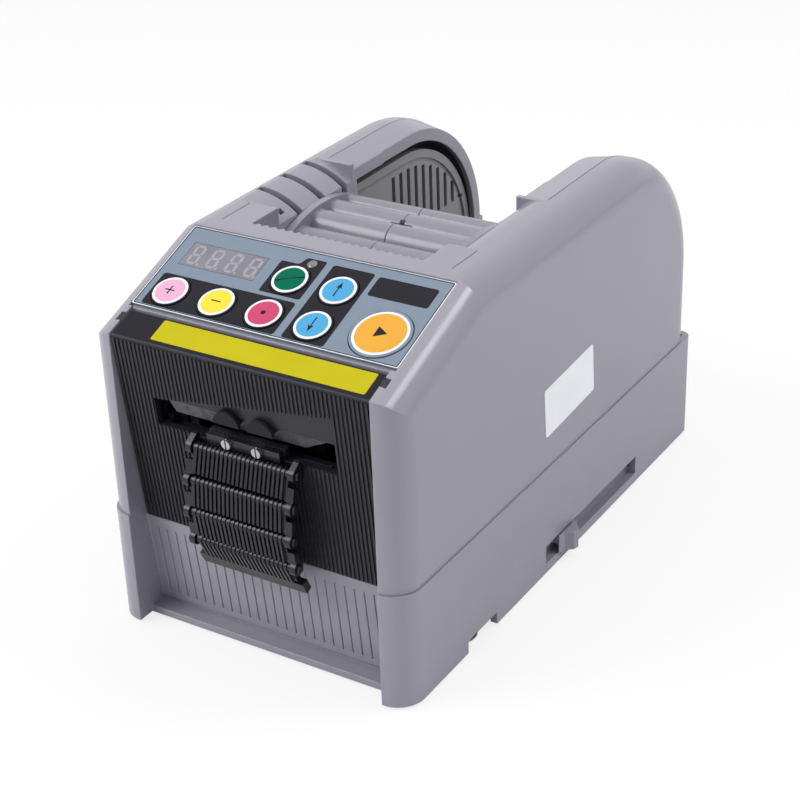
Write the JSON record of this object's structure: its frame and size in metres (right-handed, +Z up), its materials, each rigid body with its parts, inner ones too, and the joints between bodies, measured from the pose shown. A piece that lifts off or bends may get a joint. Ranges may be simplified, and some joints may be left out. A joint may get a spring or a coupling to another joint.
{
  "type": "electric tape dispenser",
  "caption": "Desktop machine that feeds adhesive tape from a roll between two rounded towers, cuts it with a driven blade and hands it out over a hinged ribbed chute.",
  "frame": {"origin": "middle of the outline seen from above, on the floor under the rubber feet", "axes": "+X to the right seen from the outlet side, +Y from the outlet to the back, +Z up"},
  "size_m": [0.114, 0.2048, 0.1202],
  "materials": {
    "case": "satin moulded grey plastic",
    "ribbed_plate": "black plastic with fine upright ribs",
    "overlay": "blue-grey printed film, semi gloss",
    "window": "smoked clear plastic",
    "display": "grey display block with pale segments",
    "lamp": "unlit grey lens",
    "key_pink": "printed key",
    "key_yellow": "printed key",
    "key_crimson": "printed key",
    "key_green": "printed key",
    "key_blue": "printed key",
    "key_orange": "printed key",
    "board": "green circuit board",
    "guide": "fluted grey plastic",
    "side_plate": "ribbed dark plastic",
    "chute": "black ribbed plastic",
    "lever": "satin moulded grey plastic",
    "rubber": "black rubber",
    "screw": "bright plated steel",
    "frame": "zinc plated sheet",
    "shaft": "ground steel",
    "gear": "natural white plastic",
    "pinion": "turned brass",
    "motor": "plated steel can",
    "carriage": "dark plastic",
    "blade": "ground tool steel",
    "bay_roller": "black plastic",
    "inlet": "black plastic jack"
  },
  "bodies": {
    "body": {"base_tray": "case", "upper_casing": "case", "front_plate": "ribbed_plate", "panel_overlay": "overlay", "display_window": "window", "display_module": "display", "status_lamp": "lamp", "control_board": "board", "guide_left": "guide", "guide_right": "guide", "side_plate_left": "side_plate", "side_plate_right": "side_plate", "chute_bracket": "chute", "rubber_feet": "rubber", "blade_pads": "rubber", "chute_screws": "screw", "case_screws": "screw", "frame_screws": "screw", "frame_left": "frame", "frame_right": "frame", "entry_guide": "frame", "cutter_bracket": "frame", "feed_motor": "motor", "cutter_motor": "motor", "blade_fixed": "blade", "power_inlet": "inlet"},
    "feed_roller": {"feed_shaft": "shaft", "feed_rings": "rubber", "feed_gear": "gear"},
    "idler": {"idler_gear": "gear"},
    "pinion": {"motor_pinion": "pinion"},
    "pinch": {"pinch_roller": "rubber"},
    "cam": {"cutter_cam": "gear"},
    "cutter": {"blade_carriage": "carriage", "blade_moving": "blade"},
    "lever": {"side_slider": "lever"},
    "roller_front": {"bay_roller_front": "bay_roller"},
    "roller_rear": {"bay_roller_rear": "bay_roller"},
    "key_plus": {"key_plus": "key_pink"},
    "key_minus": {"key_minus": "key_yellow"},
    "key_select": {"key_select": "key_crimson"},
    "key_mode": {"key_mode": "key_green"},
    "key_up": {"key_up": "key_blue"},
    "key_down": {"key_down": "key_blue"},
    "key_start": {"key_start": "key_orange"},
    "chute_1": {"chute_link_1": "chute"},
    "chute_2": {"chute_link_2": "chute"},
    "chute_3": {"chute_link_3": "chute"},
    "chute_4": {"chute_link_4": "chute"}
  },
  "joints": [
    {"name": "key_plus_press", "type": "slide", "parent": "body", "child": "key_plus", "axis": [0, 0.3502, -0.9367], "range_m": [0, 0.0005], "stiffness_N_per_m": 3000},
    {"name": "key_minus_press", "type": "slide", "parent": "body", "child": "key_minus", "axis": [0, 0.3502, -0.9367], "range_m": [0, 0.0005], "stiffness_N_per_m": 3000},
    {"name": "key_select_press", "type": "slide", "parent": "body", "child": "key_select", "axis": [0, 0.3502, -0.9367], "range_m": [0, 0.0005], "stiffness_N_per_m": 3000},
    {"name": "key_mode_press", "type": "slide", "parent": "body", "child": "key_mode", "axis": [0, 0.3502, -0.9367], "range_m": [0, 0.0005], "stiffness_N_per_m": 3000},
    {"name": "key_up_press", "type": "slide", "parent": "body", "child": "key_up", "axis": [0, 0.3502, -0.9367], "range_m": [0, 0.0005], "stiffness_N_per_m": 3000},
    {"name": "key_down_press", "type": "slide", "parent": "body", "child": "key_down", "axis": [0, 0.3502, -0.9367], "range_m": [0, 0.0005], "stiffness_N_per_m": 3000},
    {"name": "key_start_press", "type": "slide", "parent": "body", "child": "key_start", "axis": [0, 0.3502, -0.9367], "range_m": [0, 0.0005], "stiffness_N_per_m": 3000},
    {"name": "lever_slide", "type": "slide", "parent": "body", "child": "lever", "axis": [0, 1, 0], "range_m": [-0.009, 0.048]},
    {"name": "chute_hinge_1", "type": "hinge", "parent": "body", "child": "chute_1", "pos_m": [-0.002, -0.09641, 0.07168], "axis": [1, 0, 0], "range_deg": [-70, 0]},
    {"name": "chute_hinge_2", "type": "hinge", "parent": "chute_1", "child": "chute_2", "pos_m": [-0.002, -0.09907, 0.06173], "axis": [1, 0, 0], "range_deg": [-45, 0]},
    {"name": "chute_hinge_3", "type": "hinge", "parent": "chute_2", "child": "chute_3", "pos_m": [-0.002, -0.10015, 0.05149], "axis": [1, 0, 0], "range_deg": [-45, 0]},
    {"name": "chute_hinge_4", "type": "hinge", "parent": "chute_3", "child": "chute_4", "pos_m": [-0.002, -0.09863, 0.0413], "axis": [1, 0, 0], "range_deg": [-45, 0]},
    {"name": "feed_spin", "type": "hinge", "parent": "body", "child": "feed_roller", "pos_m": [-0.002, -0.06955, 0.0705], "axis": [1, 0, 0], "continuous": true},
    {"name": "idler_spin", "type": "hinge", "parent": "body", "child": "idler", "pos_m": [0.0415, -0.05057, 0.06019], "axis": [1, 0, 0], "continuous": true},
    {"name": "pinion_spin", "type": "hinge", "parent": "body", "child": "pinion", "pos_m": [0.0415, -0.03807, 0.05154], "axis": [1, 0, 0], "continuous": true},
    {"name": "pinch_spin", "type": "hinge", "parent": "body", "child": "pinch", "pos_m": [-0.002, -0.06955, 0.0858], "axis": [1, 0, 0], "continuous": true},
    {"name": "cam_turn", "type": "hinge", "parent": "body", "child": "cam", "pos_m": [-0.002, -0.08077, 0.04579], "axis": [0, 0.9936, 0.1132], "range_deg": [0, 150]},
    {"name": "cutter_slide", "type": "slide", "parent": "body", "child": "cutter", "axis": [0, -0.1132, 0.9936], "range_m": [0, 0.007]},
    {"name": "roller_front_spin", "type": "hinge", "parent": "body", "child": "roller_front", "pos_m": [-0.002, 0.02845, 0.053], "axis": [1, 0, 0], "continuous": true},
    {"name": "roller_rear_spin", "type": "hinge", "parent": "body", "child": "roller_rear", "pos_m": [-0.002, 0.07645, 0.053], "axis": [1, 0, 0], "continuous": true}
  ],
  "couplings": [
    {"joint": "idler_spin", "follows": "feed_spin", "ratio": -1.25},
    {"joint": "pinion_spin", "follows": "feed_spin", "ratio": 2.1429},
    {"joint": "pinch_spin", "follows": "feed_spin", "ratio": -1.5},
    {"joint": "cam_turn", "follows": "cutter_slide", "rad_per_m": 374}
  ]
}
